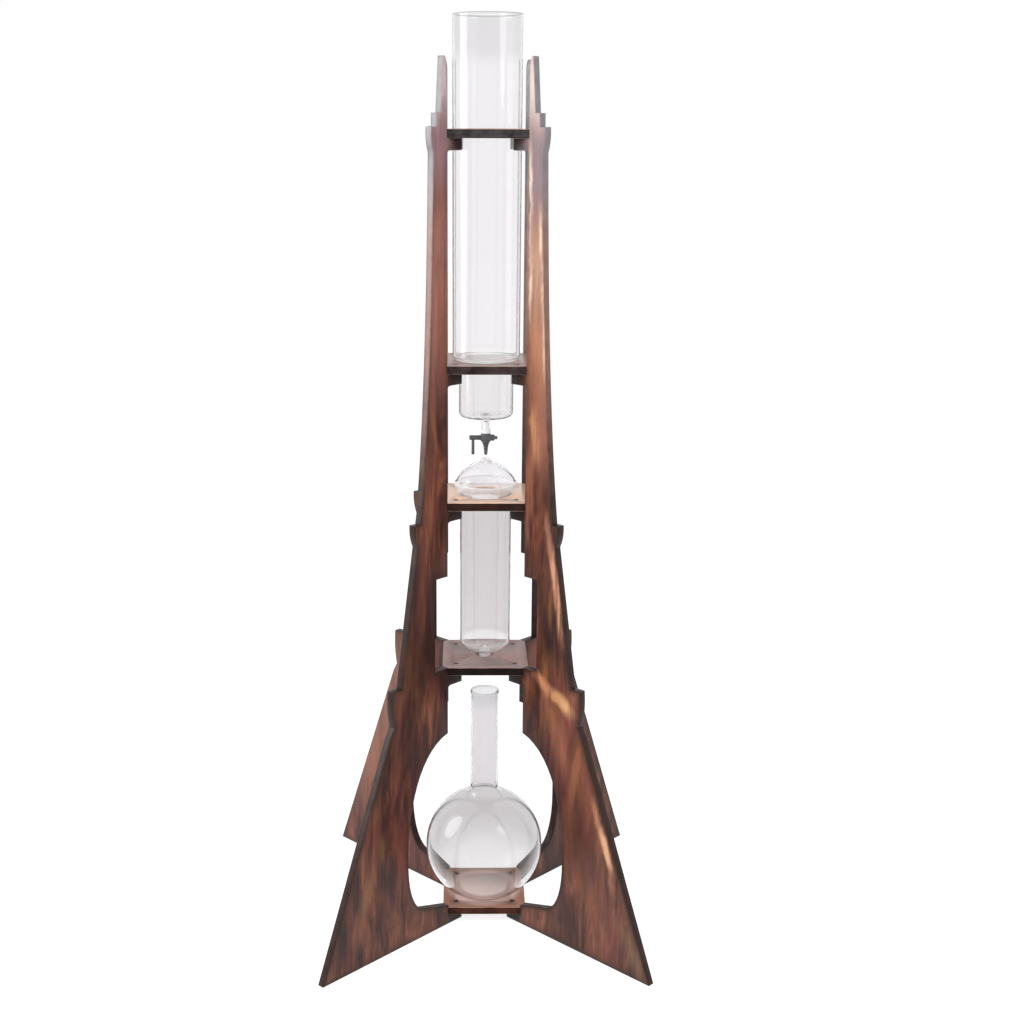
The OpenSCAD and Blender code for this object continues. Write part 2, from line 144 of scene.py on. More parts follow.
# The floor reads white wherever its light reaches the eye; the rest of its paleness is
# plain diffuse colour, which keeps the soft shadow at the feet.
floor_reach, floor_z = 9, -0.0005
floor_mesh = bpy.data.meshes.new("floor")
floor_mesh.from_pydata([(x * floor_reach, y * floor_reach, floor_z)
                        for x, y in ((-1, -1), (1, -1), (1, 1), (-1, 1))], [], [(0, 1, 2, 3)])
floor = placed("floor", floor_mesh)
paper, paper_tree, paper_shader = new_material("pale_paper")
floor_mesh.materials.append(paper)
paper_shader.inputs["Roughness"].default_value = 0.9
paper_shader.inputs["Specular IOR Level"].default_value = 0.0
paper_shader.inputs["Emission Strength"].default_value = 1.0
looked = seen_by_eye(paper_tree)
for socket, unseen, shown in (("Base Color", 0.8, 0.42), ("Emission Color", 0.0, 0.82)):
    paper_tree.links.new(mix_colors(paper_tree, looked, (unseen, unseen, unseen, 1),
                                    (shown, shown, shown, 1)), paper_shader.inputs[socket])


# ---------------------------------------------------------------- side boards
# Four identical boards of ten millimetre plywood on the diagonals, sawn to one outline,
# stained reddish brown, scorched along the edges and varnished. The cut edges show
# the dark plies. The brackets on the inner edge carry the plates.
import numpy as np
from mathutils.geometry import delaunay_2d_cdt


def per_element(items, key, width=1, kind=float):
    """A property of all elements of a mesh collection as an array, one row for each."""
    values = np.empty(len(items) * width, kind)
    items.foreach_get(key, values)
    return values.reshape(-1, width) if width > 1 else values


def mark(mesh, name, domain, values):
    """Writes one number per point or per corner of a mesh as an attribute."""
    mesh.attributes.new(name, "FLOAT", domain).data.foreach_set("value", values)


def linked(name, points, faces, smooth=40):
    """A mesh object at the origin from point and face arrays, shaded smooth below an angle."""
    mesh = bpy.data.meshes.new(name)
    mesh.from_pydata(np.asarray(points).tolist(), [], [tuple(map(int, f)) for f in faces])
    mesh.validate()
    mesh.shade_smooth()
    mesh.set_sharp_from_angle(angle=math.radians(smooth))
    return placed(name, mesh)


def face_outline(node, normal):
    """The closed outline of the flat face of a CAD node that looks along a normal: edges
    that only one triangle of that face uses, chained from end to end."""
    mesh = node.data
    co = per_element(mesh.vertices, "co", 3)
    key, index = np.unique(np.round(co, 6), axis=0, return_inverse=True)
    mesh.calc_loop_triangles()
    tri = index.ravel()[per_element(mesh.loop_triangles, "vertices", 3, int)]
    a, b, c = key[tri[:, 0]], key[tri[:, 1]], key[tri[:, 2]]
    n = np.cross(b - a, c - a)
    n /= np.maximum(np.linalg.norm(n, axis=1, keepdims=True), 1e-15)
    far = (key @ normal).max()
    flat = tri[(n @ normal > 0.999) & (a @ normal > far - 1e-5)]
    edges = np.concatenate([flat[:, [0, 1]], flat[:, [1, 2]], flat[:, [2, 0]]])
    used = {tuple(e) for e in edges.tolist()}
    after = {p: q for p, q in used if (q, p) not in used}
    start = min(after)
    ring, at = [start], after[start]
    while at != start:
        ring.append(at)
        at = after[at]
    ring = key[ring]
    back, on = np.roll(ring, 1, 0) - ring, np.roll(ring, -1, 0) - ring
    back /= np.linalg.norm(back, axis=1, keepdims=True)
    on /= np.linalg.norm(on, axis=1, keepdims=True)
    return ring[np.linalg.norm(back + on, axis=1) > 1e-3]


def inset(ring, normal, depth):
    """A plane outline moved inwards by a depth: each corner goes along its mitre."""
    on = np.roll(ring, -1, 0) - ring
    on /= np.linalg.norm(on, axis=1, keepdims=True)
    inward = np.cross(normal, on)
    before = np.roll(inward, 1, 0)
    mitre = inward + before
    mitre /= np.maximum((mitre * inward).sum(1, keepdims=True), 0.25)
    return ring + depth * mitre


def slab(name, ring, normal, thick, soft, steps=4, grid=0.004, fade_length=0.005):
    """A board: its outline carried through its thickness, drawn in by a quarter circle of
    radius soft at both faces. Each face is filled with triangles over a square grid, and
    scorch falls off as exp(-distance to the nearest cut edge / fade_length)."""
    turn = np.linspace(0, np.pi / 2, steps)
    draw = np.concatenate([soft * (1 - np.cos(turn))[::-1], soft * (1 - np.cos(turn))])
    deep = np.concatenate([soft * (1 - np.sin(turn))[::-1], thick - soft * (1 - np.sin(turn))])
    order = np.argsort(deep, kind="stable")
    draw, deep = draw[order], deep[order]
    rows = np.stack([inset(ring, normal, d) - normal * h for d, h in zip(draw, deep)])
    k, n = rows.shape[:2]
    along = np.cross((0, 0, 1), normal)
    flat = np.stack([rows[0] @ along, rows[0][:, 2]], -1)
    low, high = flat.min(0), flat.max(0)
    mesh_points = np.stack(np.meshgrid(np.arange(low[0], high[0], grid),
                                       np.arange(low[1], high[1], grid)), -1).reshape(-1, 2)
    start, run = flat, np.roll(flat, -1, 0) - flat

    def from_edge(points):
        """Distance from each point to the nearest straight piece of the outline."""
        gap = points[:, None] - start
        share = np.clip((gap * run).sum(-1) / (run ** 2).sum(-1), 0, 1)
        return np.linalg.norm(gap - share[..., None] * run, axis=-1).min(1)

    mesh_points = mesh_points[from_edge(mesh_points) > grid * 0.4]
    spots, _, fill, came, _, _ = delaunay_2d_cdt(
        np.concatenate([flat, mesh_points]).tolist(), [(i, (i + 1) % n) for i in range(n)],
        [list(range(n))], 1, 1e-7)
    owner = np.array([min(c, default=n) for c in came])
    kept = np.flatnonzero(owner >= n)
    inside = np.array([tuple(spot) for spot in spots])[kept]
    owner[kept] = n + np.arange(len(kept))
    fill = owner[np.array(fill)]
    lifted = inside[:, :1] * along + inside[:, 1:] * np.array([0.0, 0, 1]) + \
        normal * (rows[0][0] @ normal)
    front = np.where(fill < n, fill, fill - n + k * n)
    rear = np.where(fill < n, fill + (k - 1) * n, fill - n + k * n + len(kept))
    points = np.concatenate([rows.reshape(-1, 3), lifted, lifted - normal * thick])
    a, b, c = points[front[0]]
    turned = np.cross(b - a, c - a) @ normal < 0
    front, rear = (front[:, ::-1], rear) if turned else (front, rear[:, ::-1])
    i, j = np.meshgrid(np.arange(k - 1), np.arange(n), indexing="ij")
    on = (j + 1) % n
    wall = np.stack([i * n + j, (i + 1) * n + j, (i + 1) * n + on, i * n + on], -1).reshape(-1, 4)
    piece = linked(name, points, wall.tolist() + front.tolist() + rear.tolist(), 30)
    rim = np.concatenate([np.repeat(np.clip(np.minimum(deep, thick - deep) / (soft * 0.9), 0, 1), n),
                          np.zeros(2 * len(kept))])
    verts = per_element(piece.data.loops, "vertex_index", 1, int)
    on_wall = np.arange(len(verts)) < wall.size
    mark(piece.data, "cut_edge", "CORNER", np.where(on_wall, 0.25 + 0.75 * rim[verts], 0.0))
    mark(piece.data, "through", "POINT", np.concatenate(
        [np.repeat(deep / thick, n), np.zeros(len(kept)), np.ones(len(kept))]))
    fade = np.exp(-from_edge(inside) / fade_length)
    mark(piece.data, "scorch", "POINT", np.concatenate([np.ones(k * n), fade, fade]))
    return piece


def tint(code):
    """A hex colour as linear light: each channel is undone from its screen curve."""
    raw = [int(code[i:i + 2], 16) / 255 for i in (1, 3, 5)]
    return [c / 12.92 if c <= 0.04045 else ((c + 0.055) / 1.055) ** 2.4 for c in raw] + [1.0]


def new_group(name, inputs, outputs):
    """A node group with named sockets: inputs and outputs map a name to its kind and value."""
    group = bpy.data.node_groups.new(name, "ShaderNodeTree")
    for key, (kind, value) in inputs.items():
        socket = group.interface.new_socket(key, in_out="INPUT", socket_type="NodeSocket" + kind)
        if value is not None:
            socket.default_value = value
    for key, kind in outputs.items():
        group.interface.new_socket(key, in_out="OUTPUT", socket_type="NodeSocket" + kind)
    return group, group.nodes.new("NodeGroupInput"), group.nodes.new("NodeGroupOutput")


def noise(tree, vector, scale, detail=3.0, rough=0.5, distort=0.0):
    """A noise texture on a vector socket; returns its value socket."""
    node = shade(tree, "TexNoise", Scale=scale, Detail=detail, Roughness=rough, Distortion=distort)
    tree.links.new(vector, node.inputs["Vector"])
    return node.outputs["Fac"]


def span(tree, value, low, high, to_low=0.0, to_high=1.0):
    """Maps a value socket from one range to another, smoothly at both ends."""
    node = shade(tree, "MapRange", interpolation_type="SMOOTHSTEP")
    for key, number in (("From Min", low), ("From Max", high), ("To Min", to_low), ("To Max", to_high)):
        node.inputs[key].default_value = number
    tree.links.new(value, node.inputs["Value"])
    return node.outputs[0]


def grained(tree, vector, along):
    """The place drawn out along the grain: its Z is multiplied by a small share."""
    node = shade(tree, "VectorMath", operation="MULTIPLY")
    tree.links.new(vector, node.inputs[0])
    node.inputs[1].default_value = (1, 1, along)
    return node.outputs[0]


# The stained veneer: stain clouds, flamed figure, streaks of late wood and fine fibres, each
# drawn out along the grain, which runs along Z, with golden patches where the glow is high.
veneer, vin, vout = new_group(
    "stained_veneer",
    {"Vector": ("Vector", None), "Scorch": ("Float", 0.0)},
    {"Color": "Color", "Roughness": "Float", "Height": "Float"})
wood_at = vin.outputs["Vector"]
clouds = noise(veneer, grained(veneer, wood_at, 0.30), 11.0, 3, 0.5, 1.2)
figure = noise(veneer, grained(veneer, wood_at, 0.17), 34.0, 4, 0.55, 2.0)
streaks = noise(veneer, grained(veneer, wood_at, 0.06), 110.0, 3, 0.55, 0.8)
fibres = noise(veneer, grained(veneer, wood_at, 0.03), 760.0, 3, 0.6, 0.0)
glow = noise(veneer, grained(veneer, wood_at, 0.25), 17.0, 3, 0.5, 1.5)
hue = noise(veneer, grained(veneer, wood_at, 0.35), 16.0, 2, 0.5, 1.0)
# The colour of charred wood, for the scorch and also for the painted shade on the brackets.
char_and_shade = tint("#1c100d")
blend = maths(veneer, "ADD", maths(veneer, "MULTIPLY", figure, 0.80),
              maths(veneer, "MULTIPLY", streaks, 0.20))
base = mix_colors(veneer, span(veneer, blend, 0.36, 0.54), tint("#351a15"), tint("#683b2d"))
base = mix_colors(veneer, span(veneer, blend, 0.50, 0.66), base, tint("#925a45"))
base = mix_colors(veneer, span(veneer, clouds, 0.50, 0.70, 0.0, 0.5), base, tint("#9c6049"))
base = mix_colors(veneer, span(veneer, clouds, 0.52, 0.34, 0.0, 0.7), base, tint("#2a1412"))
base = mix_colors(veneer, span(veneer, hue, 0.50, 0.66, 0.0, 0.8), base,
                  (0.92, 0.74, 0.98, 1), "MULTIPLY")
base = mix_colors(veneer, span(veneer, hue, 0.48, 0.34, 0.0, 0.8), base,
                  (1.14, 1.02, 0.74, 1), "MULTIPLY")
gilt = maths(veneer, "MULTIPLY", span(veneer, glow, 0.58, 0.74), span(veneer, streaks, 0.40, 0.60))
base = mix_colors(veneer, maths(veneer, "MULTIPLY", gilt, 0.5), base, tint("#a8713f"))
base = mix_colors(veneer, span(veneer, fibres, 0.42, 0.68, 0.0, 0.22), base, tint("#1d0d09"))
singe = maths(veneer, "MULTIPLY", vin.outputs["Scorch"], span(veneer, figure, 0.30, 0.62, 0.35, 1.0))
base = mix_colors(veneer, singe, base, char_and_shade)
veneer.links.new(base, vout.inputs["Color"])
veneer.links.new(span(veneer, fibres, 0.2, 0.8, 0.30, 0.46), vout.inputs["Roughness"])
veneer.links.new(maths(veneer, "ADD", maths(veneer, "MULTIPLY", streaks, 0.6),
                       maths(veneer, "MULTIPLY", fibres, 0.4)), vout.inputs["Height"])


def figure_and_light_streak(tree, reach, height, start, end, wide):
    """A mark along a line on one board's face, for figure and for painted light and shade alike: its
    strength falls off smoothly with the distance from the line between two places (reach, height)."""
    run = (end[0] - start[0], end[1] - start[1])
    size = math.hypot(*run)
    u, v = run[0] / size, run[1] / size
    off = maths(tree, "ADD", maths(tree, "MULTIPLY", reach, -v), maths(tree, "MULTIPLY", height, u))
    off = maths(tree, "ABSOLUTE", maths(tree, "ADD", off, start[0] * v - start[1] * u))
    far = maths(tree, "ADD", maths(tree, "MULTIPLY", reach, u), maths(tree, "MULTIPLY", height, v))
    far = maths(tree, "ADD", far, -(start[0] + end[0]) / 2 * u - (start[1] + end[1]) / 2 * v)
    far = maths(tree, "ABSOLUTE", far)
    soft = wide + size * 0.15
    return maths(tree, "MULTIPLY", span(tree, off, wide, 0.0),
                 span(tree, far, size / 2 + soft, size / 2 - soft))


def wood_finish(name, turn, coat, edge_coat, coat_rough, gloss, dark_edge, marks_and_painted_light=(), pale=0.0,
                pale_tint=None, arris_highlight_tint=None, stand=None):
    """Stained and varnished plywood: the veneer on the faces, dark plies on the cuts. The boards have
    marks and painted light, scorched edges, cut edges painted paler towards the top, and brackets, which
    lie nearer the axis than the boards' inner edge, darkened with painted shade. The plates are paler,
    some of them as painted light, with painted highlights along their arrises, and the lowest one has a
    paler round of painted light where the flask stands."""
    stuff, tree, shader = new_material(name)
    place = shade(tree, "TexCoord").outputs["Object"]
    spin = shade(tree, "Mapping", Rotation=turn)
    tree.links.new(place, spin.inputs["Vector"])
    skin = tree.nodes.new("ShaderNodeGroup")
    skin.node_tree = veneer
    tree.links.new(spin.outputs[0], skin.inputs["Vector"])
    cut, deep, burnt = (shade(tree, "Attribute", attribute_name=key).outputs["Fac"]
                        for key in ("cut_edge", "through", "scorch"))
    color = skin.outputs["Color"]
    if pale:
        color = mix_colors(tree, pale, color, tint(pale_tint))
    at = shade(tree, "SeparateXYZ")
    tree.links.new(place, at.inputs[0])
    across, back, up = at.outputs
    edge_tint = tint(dark_edge)
    from_axis = maths(tree, "SQRT", maths(tree, "ADD", maths(tree, "MULTIPLY", across, across),
                                          maths(tree, "MULTIPLY", back, back)))
    # Painted light: a paler round on the lowest plate under the flask, for the light that falls through
    # its glass.
    if stand:
        round_rim, round_middle = 0.053, 0.040
        color = mix_colors(tree, span(tree, from_axis, round_rim, round_middle, 0.0, 0.85),
                           color, tint(stand))
    if marks_and_painted_light:
        # Painted shade: the brackets, nearer the axis than the boards' inner edge, are darkened towards
        # char under the plates.
        inner_edge, darkest = 0.0715, 0.0675
        bracket_shade = span(tree, from_axis, inner_edge, darkest, 0.0, 0.9)
        tree.links.new(maths(tree, "MULTIPLY", burnt, 0.9), skin.inputs["Scorch"])
        color = mix_colors(tree, bracket_shade, color, char_and_shade)
        wobble = noise(tree, grained(tree, place, 0.3), 55.0)
        burr = noise(tree, grained(tree, place, 0.5), 210.0)
        shift = maths(tree, "ADD", maths(tree, "MULTIPLY", maths(tree, "ADD", wobble, -0.5), 0.010),
                      maths(tree, "MULTIPLY", maths(tree, "ADD", burr, -0.5), 0.005))
        ragged = noise(tree, grained(tree, spin.outputs[0], 0.10), 90.0, 4, 0.6, 0.8)
        for (x, y), start, end, wide, code, much in marks_and_painted_light:
            reach = maths(tree, "MULTIPLY", maths(tree, "ADD", maths(tree, "MULTIPLY", across, x),
                                                  maths(tree, "MULTIPLY", back, y)), math.sqrt(0.5))
            shape = figure_and_light_streak(tree, maths(tree, "ADD", reach, shift), up, start, end, wide)
            torn = span(tree, ragged, 0.34, 0.60, min(0.15 + wide * 16, 0.66), 1.0)
            share = maths(tree, "MULTIPLY", maths(tree, "MULTIPLY", shape, torn), much)
            color = mix_colors(tree, share, color, tint(code))
        # Painted light: the boards' cut edges grow paler and greyer towards the top, where the lamps
        # glare on them.
        edge_tint = mix_colors(tree, span(tree, up, 0.52, 0.74), edge_tint, tint("#8c685c"))
        edge_tint = mix_colors(tree, span(tree, up, 0.84, 0.96), edge_tint, tint("#857f82"))
    ply_waves = 44.0  # seven plies through a board
    lines = span(tree, maths(tree, "SINE", maths(tree, "MULTIPLY", deep, ply_waves)), 0.5, -0.2)
    soot = span(tree, noise(tree, place, 60.0, 4, 0.6), 0.35, 0.7, 0.0, 0.75)
    # Higher up, the dark plies and soot fade under that painted glare.
    if marks_and_painted_light:
        edge_glare_fade = span(tree, up, 0.50, 0.75, 1.0, 0.3)
        lines, soot = maths(tree, "MULTIPLY", lines, edge_glare_fade), maths(tree, "MULTIPLY", soot, edge_glare_fade)
    glue = mix_colors(tree, lines, edge_tint, tint("#140c0a"))
    glue = mix_colors(tree, soot, glue, tint("#100a09"))
    color = mix_colors(tree, cut, color, glue)
    if not marks_and_painted_light:
        # Painted highlight along the plates' eased arrises, weaker where the cut is sooty.
        arris = maths(tree, "MULTIPLY", span(tree, cut, 0.05, 0.3),
                      span(tree, cut, 0.8, 0.5))
        arris_highlight = maths(tree, "MULTIPLY", arris, span(tree, soot, 0.5, 0.1, 0.4, 0.9))
        color = mix_colors(tree, arris_highlight, color, tint(arris_highlight_tint))
    tree.links.new(color, shader.inputs["Base Color"])
    tree.links.new(skin.outputs["Roughness"], shader.inputs["Roughness"])
    shader.inputs["Specular IOR Level"].default_value = gloss
    shine = span(tree, cut, 0.0, 0.6, coat, edge_coat)
    if marks_and_painted_light:
        glare = maths(tree, "MAXIMUM", span(tree, up, 0.55, 0.95, 0.1, 1.0),
                      span(tree, cut, 0.0, 0.3, 0.7, 0.0))
        shine = maths(tree, "MULTIPLY", shine, glare)
    tree.links.new(shine, shader.inputs["Coat Weight"])
    shader.inputs["Coat Roughness"].default_value = coat_rough
    bump = shade(tree, "Bump", Strength=0.2, Distance=0.0005)
    tree.links.new(skin.outputs["Height"], bump.inputs["Height"])
    tree.links.new(bump.outputs[0], shader.inputs["Normal"])
    return stuff


# The boards' own marks and painted light, each a side, a line from one place (reach, height) to another,
# a width, a tint and a strength. On the front right board: a bright feather and dark bands; a golden
# streak at the outer edge and thin pale lines along both edges, which are painted highlights; one dark
# band along the outer edge, which is painted shade; and pale bands above them, painted light that grows
# towards the top. On the front left one: pale bands high up, painted light as well, one pale band lower
# down painted over shade, golden flecks, and a wide dark band, painted shade. A pale patch on the back
# left one. The back right one has none.
right, left, rear = (1, -1), (-1, -1), (-1, 1)
board_wood = wood_finish("board_wood", (0, 0, 0), 0.25, 0.6, 0.2, 0.2, "#4a2c24", (
    # Painted light: pale bands high on the front right board, paler towards the top.
    (right, (0.070, 1.080), (0.080, 0.980), 0.034, "#cfb8b2", 0.9),
    (right, (0.078, 0.975), (0.084, 0.890), 0.036, "#86747a", 0.85),
    (right, (0.082, 0.880), (0.089, 0.770), 0.036, "#bc9078", 0.85),
    (right, (0.087, 0.775), (0.092, 0.690), 0.034, "#b97f60", 0.85),
    (right, (0.089, 0.690), (0.095, 0.600), 0.034, "#a66a55", 0.7),
    # Painted highlights: thin pale lines along both edges.
    (right, (0.0733, 0.960), (0.0755, 0.780), 0.0045, "#ecccb8", 0.9),
    (right, (0.0895, 0.885), (0.0970, 0.720), 0.0045, "#e8c6a8", 0.9),
    (right, (0.0825, 0.665), (0.0860, 0.610), 0.010, "#d39a6c", 0.85),
    (right, (0.0765, 0.620), (0.0800, 0.550), 0.012, "#ab6b52", 0.8),
    (right, (0.0740, 0.560), (0.0755, 0.505), 0.007, "#945f50", 0.7),
    (right, (0.112, 0.545), (0.112, 0.480), 0.012, "#3a201c", 0.6),
    (right, (0.1040, 0.545), (0.1130, 0.500), 0.008, "#a5705c", 0.8),
    # A golden streak near the outer edge, painted as an edge highlight.
    (right, (0.1150, 0.500), (0.1305, 0.400), 0.008, "#cf9474", 1.3),
    # Painted shade: a dark band along the outer edge.
    (right, (0.1300, 0.470), (0.1450, 0.360), 0.012, "#1c1012", 0.7),
    (right, (0.1070, 0.415), (0.1230, 0.365), 0.020, "#22141a", 0.95),
    (right, (0.0880, 0.460), (0.0920, 0.375), 0.008, "#a8684f", 0.85),
    (right, (0.1146, 0.3183), (0.1168, 0.2904), 0.014, "#8f5c3c", 0.8),
    (right, (0.0921, 0.3444), (0.1143, 0.3285), 0.0105, "#c58460", 1.6),
    (right, (0.1143, 0.3285), (0.1321, 0.3219), 0.0125, "#c98f62", 1.6),
    (right, (0.1321, 0.3219), (0.1451, 0.3102), 0.0125, "#d8a474", 1.5),
    (right, (0.1245, 0.3140), (0.1300, 0.3050), 0.0050, "#6f4220", 1.0),
    (right, (0.1200, 0.305), (0.1400, 0.235), 0.022, "#a8694f", 0.75),
    (right, (0.1580, 0.195), (0.1900, 0.085), 0.048, "#341f1b", 0.75),
    (right, (0.1850, 0.208), (0.2000, 0.165), 0.009, "#bb8262", 0.9),
    (right, (0.2000, 0.172), (0.2175, 0.130), 0.008, "#dfa884", 1.5),
    (right, (0.2150, 0.130), (0.2200, 0.098), 0.007, "#9a6a4e", 0.8),
    (right, (0.237, 0.060), (0.268, 0.007), 0.020, "#8f6c52", 0.6),
    (right, (0.134, 0.050), (0.143, 0.015), 0.030, "#2a1a19", 0.95),
    # Painted light: pale bands high on the front left board, paler towards the top.
    (left, (0.074, 1.080), (0.080, 0.990), 0.030, "#bfa4a6", 0.9),
    (left, (0.080, 0.990), (0.084, 0.930), 0.030, "#96767b", 0.8),
    (left, (0.080, 0.910), (0.088, 0.700), 0.028, "#a57166", 0.7),
    # Painted light: a pale band by the inner edge, over the shade there.
    (left, (0.074, 0.820), (0.076, 0.700), 0.012, "#b0704f", 0.6),
    # Painted shade: a wide dark band low on the front left board.
    (left, (0.110, 0.450), (0.160, 0.200), 0.045, "#2b1712", 0.5),
    (left, (0.183, 0.158), (0.182, 0.128), 0.010, "#86603a", 0.7),
    (left, (0.202, 0.112), (0.214, 0.070), 0.013, "#87603f", 0.75),
    (left, (0.220, 0.066), (0.225, 0.030), 0.013, "#965f48", 0.8),
    (left, (0.172, 0.043), (0.158, 0.040), 0.012, "#80533a", 0.7),
    (rear, (0.150, 0.330), (0.240, 0.080), 0.040, "#9a6c5c", 0.7)))
board_thick, board_ease = 0.010, 0.0009
for board, normal in (("front_left", (1, -1, 0)), ("front_right", (-1, -1, 0)),
                      ("back_left", (-1, -1, 0)), ("back_right", (1, -1, 0))):
    normal = np.array(normal) / math.sqrt(2)
    outline = face_outline(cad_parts["board_" + board], normal)
    side_board = slab("side_board_" + board, outline, normal, board_thick, board_ease)
    side_board.data.materials.append(board_wood)
    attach(side_board, "stand")
    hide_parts("board_" + board)

# ---------------------------------------------------------------- plates
# Five square plates of the same plywood, laid on the brackets with their corners cut flat
# against the boards, varnished until they shine. Four have a round hole for the glass.
import bmesh


def eased_plate(node, name, ease=0.0008, screw_reach=0.051, screw_room=0.006, hole_reach=0.044):
    """A merged copy of a plate whose outline is rounded over by ease; bores stay crisp. Only
    faces outside hole_reach count as the plate's cut edge."""
    form = bmesh.new()
    form.from_mesh(node.data)
    bmesh.ops.remove_doubles(form, verts=form.verts, dist=1e-6)
    place = screw_reach / math.sqrt(2)
    rim = [e for e in form.edges if e.calc_face_angle(0) > 0.5 and all(
        math.hypot(abs(v.co.x) - place, abs(v.co.y) - place) > screw_room and
        max(abs(v.co.x), abs(v.co.y)) > hole_reach for v in e.verts)]
    bmesh.ops.bevel(form, geom=rim, offset=ease, segments=3, profile=0.5, affect="EDGES")
    mesh = bpy.data.meshes.new(name)
    form.to_mesh(mesh)
    form.free()
    mesh.shade_smooth()
    mesh.set_sharp_from_angle(angle=math.radians(32))
    z = per_element(mesh.vertices, "co", 3)[:, 2]
    upright = np.abs(per_element(mesh.polygons, "normal", 3)[:, 2])
    outside = np.abs(per_element(mesh.polygons, "center", 3)[:, :2]).max(1) > hole_reach + 0.0005
    corners = per_element(mesh.polygons, "loop_total", 1, int)
    mark(mesh, "through", "POINT", (z - z.min()) / (z.max() - z.min()))
    mark(mesh, "cut_edge", "CORNER", np.repeat(np.clip((0.9 - upright) / 0.5, 0, 1) * outside, corners))
    return placed(name, mesh)


# Each plate mixes the veneer with a pale tint of its own. The chamber's rest and the flask's base are
# paler as painted light, where the glass and the boards shade them; the flask's base also gets a round
# of painted light under the flask.
for plate, pale, pale_tint, coat, coat_rough, dark_edge, arris_highlight_tint, stand in (
        ("tank_collar", 0.6, "#a9806c", 1.0, 0.12, "#565453", "#8c6f66", None),
        ("tank_rest", 0.75, "#97837d", 0.5, 0.25, "#5a4a49", "#a08a86", None),
        ("chamber_rest", 0.92, "#d9b49c", 0.8, 0.12, "#4a3028", "#f0d0b8", None),
        ("outlet_guide", 0.8, "#937f7c", 0.3, 0.45, "#2e2220", "#bba49e", None),
        ("flask_base", 0.85, "#8d6555", 0.4, 0.35, "#7a4838", "#e8bda2", "#c4a59d")):
    shelf = eased_plate(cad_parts["plate_" + plate], "shelf_" + plate)
    shelf.data.materials.append(wood_finish(
        "plate_wood_" + plate, (0, math.pi / 2, 0), coat, 0.0, coat_rough, 0.05, dark_edge,
        (), pale, pale_tint, arris_highlight_tint, stand))
    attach(shelf, "stand")
    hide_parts("plate_" + plate)

# ---------------------------------------------------------------- screws
# Four countersunk cross-head screws in each plate, browned steel, sunk flush.
browned, steel_tree, steel_shader = new_material("browned_steel")
steel_place = shade(steel_tree, "TexCoord").outputs["Object"]
steel_spots = noise(steel_tree, steel_place, 900.0, 4, 0.6)
steel_tree.links.new(mix_colors(steel_tree, span(steel_tree, steel_spots, 0.35, 0.7),
                                tint("#3b2f2a"), tint("#6d5a4e")), steel_shader.inputs["Base Color"])
steel_tree.links.new(span(steel_tree, steel_spots, 0.3, 0.7, 0.28, 0.45),
                     steel_shader.inputs["Roughness"])
steel_shader.inputs["Metallic"].default_value = 1.0
for plate in ("tank_collar", "tank_rest", "chamber_rest", "outlet_guide", "flask_base"):
    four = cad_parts["screws_" + plate]
    four.data.materials.clear()
    four.data.materials.append(browned)


# ---------------------------------------------------------------- water tank
# One blown and turned borosilicate tube: wide above its shoulder, which sits on a plate,
# narrower below, with a short outlet tube and a fire-polished rim.
def softened(corners, steps=7, tight=0.0004, straight=1.55):
    """A profile whose corners (r, h, radius) are each replaced by an arc tangent to both
    sides: it starts and ends radius times cot(half the corner's angle) from the corner.
    A corner whose half angle is past straight stays as it is."""
    corners = np.array(corners, float)
    spot, radius = corners[:, :2], corners[:, 2]
    before, after = np.roll(spot, 1, 0) - spot, np.roll(spot, -1, 0) - spot
    u = before / np.linalg.norm(before, axis=1, keepdims=True)
    v = after / np.linalg.norm(after, axis=1, keepdims=True)
    half = np.arccos(np.clip((u * v).sum(1), -1, 1)) / 2
    out = []
    for p, r, a, b, h in zip(spot, radius, u, v, half):
        if r <= 0 or h > straight:
            out.append(p[None])
            continue
        run = r / math.tan(h)
        centre = p + (a + b) / np.linalg.norm(a + b) * r / math.sin(h)
        start, end = p + a * run - centre, p + b * run - centre
        sweep = math.atan2(start[0] * end[1] - start[1] * end[0], start @ end)
        n = max(3, int(np.ceil(abs(sweep) / (np.pi / 2) * steps)) + 1)
        t = np.linspace(0, sweep, n)
        arc = centre + np.stack([start[0] * np.cos(t) - start[1] * np.sin(t),
                                 start[0] * np.sin(t) + start[1] * np.cos(t)], -1)
        out.append(np.concatenate([[p + a * (run + tight)], arc, [p + b * (run + tight)]]))
    return np.concatenate(out)


